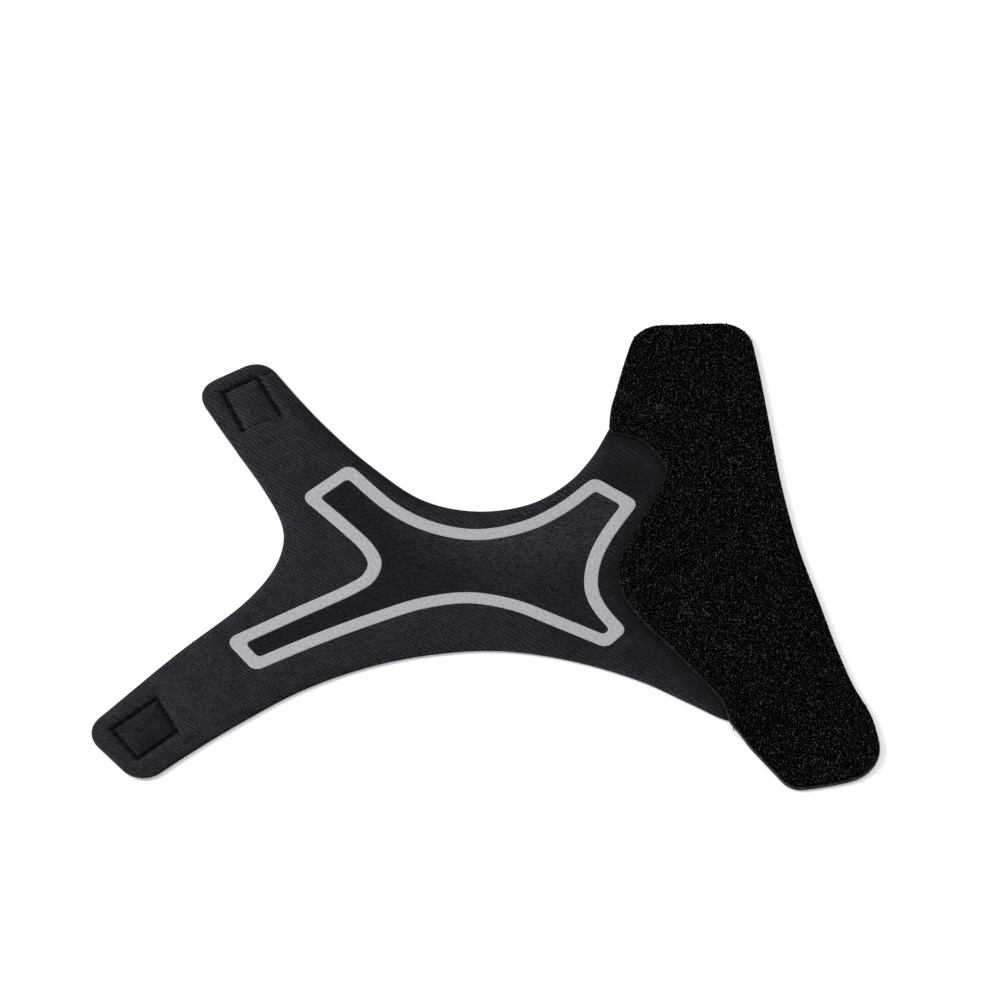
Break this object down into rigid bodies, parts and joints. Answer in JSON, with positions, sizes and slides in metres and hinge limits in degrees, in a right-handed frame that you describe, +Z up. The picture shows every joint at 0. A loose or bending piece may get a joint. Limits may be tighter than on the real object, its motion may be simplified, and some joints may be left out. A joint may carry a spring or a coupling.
{
  "type": "ankle compression wrap",
  "caption": "Open X-shaped knit and foam wrap with two hook tabs, a grey border band and a wing of loop pile, laid flat.",
  "frame": {"origin": "middle of the wrap's footprint, on the surface that it lies on", "axes": "+X along the wrap's length, from the tabs to the wing; +Y across it, towards the wing's head; +Z up, out of the face with the border band"},
  "size_m": [0.3804, 0.2842, 0.0066],
  "materials": {
    "ribbed_knit": "matte ribbed stretch knit",
    "fine_knit": "smooth fine knit, slight sheen",
    "reflective_film": "fine-grained reflective transfer film",
    "foam_laminate": "die-cut foam laminate, matte",
    "loop_pile": "unbroken loop pile with pale glints",
    "hook_tape": "moulded nylon hook tape"
  },
  "bodies": {
    "root": {"body_panel": "ribbed_knit", "centre_panel": "fine_knit", "reflective_border": "reflective_film", "wing_base": "foam_laminate", "wing_loop_face": "loop_pile", "hook_patch_upper": "hook_tape", "hook_patch_lower": "hook_tape"}
  },
  "joints": []
}
